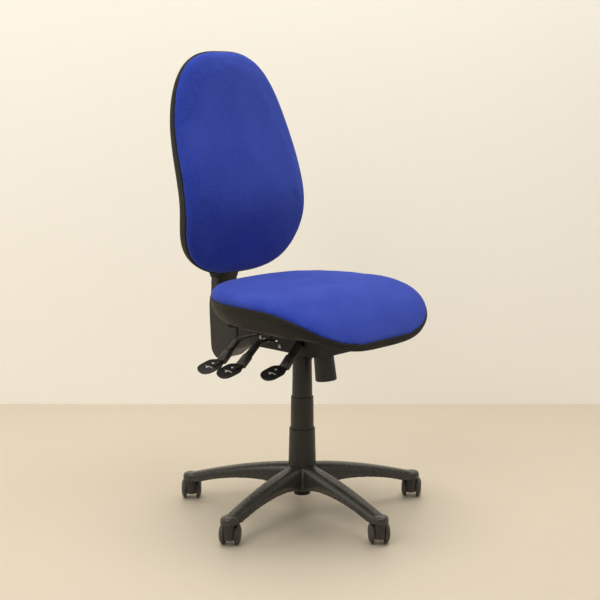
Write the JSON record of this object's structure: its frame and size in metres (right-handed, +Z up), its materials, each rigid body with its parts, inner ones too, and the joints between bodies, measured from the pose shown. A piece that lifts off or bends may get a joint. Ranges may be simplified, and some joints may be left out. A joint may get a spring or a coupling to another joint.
{
  "type": "swivel office chair",
  "caption": "High-back swivel task chair on a five-spoke castor base with a gas lift, three control levers and a back tension knob.",
  "frame": {"origin": "on the swivel axis at floor level", "axes": "+Z up along the swivel axis; the seated person faces -Y; the three levers are on the -X side"},
  "size_m": [0.6179, 0.6182, 1.1245],
  "materials": {
    "base_nylon": "fine moulded texture",
    "black_steel": "black powder coat",
    "blue_fabric": "royal blue woven wool-blend",
    "bright_steel": "ground steel",
    "bush_plastic": "natural acetal",
    "castor_hood": "satin moulded nylon",
    "castor_wheel": "worn moulded nylon",
    "cover_plastic": "fine moulded texture",
    "knob_plastic": "satin",
    "paddle_plastic": "satin",
    "plywood": "raw beech plywood",
    "shell_plastic": "grained moulded polypropylene",
    "spring_steel": "oiled spring steel",
    "zinc_steel": "zinc plated"
  },
  "bodies": {
    "base": {"star_base": "base_nylon", "castor_stems": "zinc_steel", "lift_outer_tube": "black_steel", "lift_guide_bush": "bush_plastic", "lift_thrust_bearing": "zinc_steel", "cover_lower": "cover_plastic"},
    "spindle": {"lift_piston_rod": "zinc_steel", "lift_retaining_clip": "zinc_steel"},
    "mid_cover": {"cover_middle": "cover_plastic"},
    "column": {"lift_cylinder": "black_steel", "cover_upper": "cover_plastic", "mech_housing": "black_steel", "taper_socket": "black_steel", "seat_pivot_pin": "zinc_steel", "back_pivot_pin": "zinc_steel", "tension_spring": "spring_steel"},
    "valve": {"lift_valve_pin": "zinc_steel"},
    "knob": {"tension_knob": "knob_plastic", "tension_screw": "zinc_steel"},
    "nut": {"tension_nut": "zinc_steel"},
    "seat": {"seat_bracket": "black_steel", "seat_board": "plywood", "seat_cushion": "blue_fabric", "seat_shell": "shell_plastic", "seat_bolts": "zinc_steel", "seat_t_nuts": "zinc_steel"},
    "back_arm": {"back_bracket": "black_steel", "j_bar": "black_steel", "upright_cover": "shell_plastic"},
    "back": {"back_slider": "shell_plastic", "back_board": "plywood", "back_cushion": "blue_fabric", "back_shell": "shell_plastic", "back_bolts": "zinc_steel"},
    "height_control": {"height_lever": "black_steel", "height_paddle": "paddle_plastic"},
    "back_control": {"back_lever": "black_steel", "back_paddle": "paddle_plastic"},
    "seat_control": {"seat_lever": "black_steel", "seat_paddle": "paddle_plastic"},
    "castor_1": {"castor_1_hood": "castor_hood", "castor_1_axle": "bright_steel"},
    "wheel_1a": {"castor_1_wheel_a": "castor_wheel"},
    "wheel_1b": {"castor_1_wheel_b": "castor_wheel"},
    "castor_2": {"castor_2_hood": "castor_hood", "castor_2_axle": "bright_steel"},
    "wheel_2a": {"castor_2_wheel_a": "castor_wheel"},
    "wheel_2b": {"castor_2_wheel_b": "castor_wheel"},
    "castor_3": {"castor_3_hood": "castor_hood", "castor_3_axle": "bright_steel"},
    "wheel_3a": {"castor_3_wheel_a": "castor_wheel"},
    "wheel_3b": {"castor_3_wheel_b": "castor_wheel"},
    "castor_4": {"castor_4_hood": "castor_hood", "castor_4_axle": "bright_steel"},
    "wheel_4a": {"castor_4_wheel_a": "castor_wheel"},
    "wheel_4b": {"castor_4_wheel_b": "castor_wheel"},
    "castor_5": {"castor_5_hood": "castor_hood", "castor_5_axle": "bright_steel"},
    "wheel_5a": {"castor_5_wheel_a": "castor_wheel"},
    "wheel_5b": {"castor_5_wheel_b": "castor_wheel"}
  },
  "joints": [
    {"name": "castor_1_swivel", "type": "hinge", "parent": "base", "child": "castor_1", "pos_m": [0.21113, 0.20603, 0.05], "axis": [0, 0, 1], "continuous": true},
    {"name": "wheel_1a_spin", "type": "hinge", "parent": "castor_1", "child": "wheel_1a", "pos_m": [0.22228, 0.21886, 0.025], "axis": [-0.7547, 0.6561, 0], "continuous": true},
    {"name": "wheel_1b_spin", "type": "hinge", "parent": "castor_1", "child": "wheel_1b", "pos_m": [0.22228, 0.21886, 0.025], "axis": [-0.7547, 0.6561, 0], "continuous": true},
    {"name": "castor_2_swivel", "type": "hinge", "parent": "base", "child": "castor_2", "pos_m": [-0.13071, 0.26446, 0.05], "axis": [0, 0, 1], "continuous": true},
    {"name": "wheel_2a_spin", "type": "hinge", "parent": "castor_2", "child": "wheel_2a", "pos_m": [-0.1189, 0.27669, 0.025], "axis": [-0.7193, 0.6947, 0], "continuous": true},
    {"name": "wheel_2b_spin", "type": "hinge", "parent": "castor_2", "child": "wheel_2b", "pos_m": [-0.1189, 0.27669, 0.025], "axis": [-0.7193, 0.6947, 0], "continuous": true},
    {"name": "castor_3_swivel", "type": "hinge", "parent": "base", "child": "castor_3", "pos_m": [-0.29191, -0.04258, 0.05], "axis": [0, 0, 1], "continuous": true},
    {"name": "wheel_3a_spin", "type": "hinge", "parent": "castor_3", "child": "wheel_3a", "pos_m": [-0.27833, -0.03235, 0.025], "axis": [-0.6018, 0.7986, 0], "continuous": true},
    {"name": "wheel_3b_spin", "type": "hinge", "parent": "castor_3", "child": "wheel_3b", "pos_m": [-0.27833, -0.03235, 0.025], "axis": [-0.6018, 0.7986, 0], "continuous": true},
    {"name": "castor_4_swivel", "type": "hinge", "parent": "base", "child": "castor_4", "pos_m": [-0.0497, -0.29078, 0.05], "axis": [0, 0, 1], "continuous": true},
    {"name": "wheel_4a_spin", "type": "hinge", "parent": "castor_4", "child": "wheel_4a", "pos_m": [-0.03811, -0.27835, 0.025], "axis": [-0.7314, 0.682, 0], "continuous": true},
    {"name": "wheel_4b_spin", "type": "hinge", "parent": "castor_4", "child": "wheel_4b", "pos_m": [-0.03811, -0.27835, 0.025], "axis": [-0.7314, 0.682, 0], "continuous": true},
    {"name": "castor_5_swivel", "type": "hinge", "parent": "base", "child": "castor_5", "pos_m": [0.26119, -0.13713, 0.05], "axis": [0, 0, 1], "continuous": true},
    {"name": "wheel_5a_spin", "type": "hinge", "parent": "castor_5", "child": "wheel_5a", "pos_m": [0.27512, -0.12738, 0.025], "axis": [-0.5736, 0.8192, 0], "continuous": true},
    {"name": "wheel_5b_spin", "type": "hinge", "parent": "castor_5", "child": "wheel_5b", "pos_m": [0.27512, -0.12738, 0.025], "axis": [-0.5736, 0.8192, 0], "continuous": true},
    {"name": "chair_swivel", "type": "hinge", "parent": "base", "child": "spindle", "pos_m": [0, 0, 0.05], "axis": [0, 0, 1], "continuous": true},
    {"name": "height_slide", "type": "slide", "parent": "spindle", "child": "column", "axis": [0, 0, 1], "range_m": [-0.11, 0.02]},
    {"name": "cover_slide", "type": "slide", "parent": "base", "child": "mid_cover", "axis": [0, 0, 1], "range_m": [-0.0555, 0.0105]},
    {"name": "seat_tilt", "type": "hinge", "parent": "column", "child": "seat", "pos_m": [0, 0.03, 0.46], "axis": [-1, 0, 0], "range_deg": [-4, 7]},
    {"name": "back_recline", "type": "hinge", "parent": "column", "child": "back_arm", "pos_m": [0, 0.07, 0.432], "axis": [-1, 0, 0], "range_deg": [-4, 16]},
    {"name": "back_height", "type": "slide", "parent": "back_arm", "child": "back", "axis": [0, -0.1564, 0.9877], "range_m": [0, 0.07]},
    {"name": "height_lever_lift", "type": "hinge", "parent": "column", "child": "height_control", "pos_m": [-0.048, -0.049, 0.462], "axis": [0, 1, 0], "range_deg": [0, 5], "stiffness_Nm_per_rad": 2, "springref_deg": -5.73},
    {"name": "back_lever_lift", "type": "hinge", "parent": "column", "child": "back_control", "pos_m": [-0.051, 0.106, 0.44], "axis": [0, 1, 0], "range_deg": [0, 12]},
    {"name": "seat_lever_lift", "type": "hinge", "parent": "column", "child": "seat_control", "pos_m": [-0.051, 0.04, 0.44], "axis": [0, 1, 0], "range_deg": [0, 12]},
    {"name": "valve_press", "type": "slide", "parent": "column", "child": "valve", "axis": [0, 0, -1], "range_m": [0, 0.0045], "stiffness_N_per_m": 200, "springref_m": -0.002},
    {"name": "tension_turn", "type": "hinge", "parent": "column", "child": "knob", "pos_m": [0, -0.075, 0.373], "axis": [0, 0.1392, 0.9903], "range_deg": [-1080, 1080]},
    {"name": "tension_nut_travel", "type": "slide", "parent": "column", "child": "nut", "axis": [0, 0.1392, 0.9903], "range_m": [-0.0062, 0.0062], "deforming": ["tension_spring"]}
  ],
  "couplings": [
    {"joint": "cover_slide", "follows": "height_slide", "ratio": 0.5},
    {"joint": "valve_press", "follows": "height_lever_lift", "m_per_rad": 0.048},
    {"joint": "tension_nut_travel", "follows": "tension_turn", "m_per_rad": -0.000318}
  ]
}
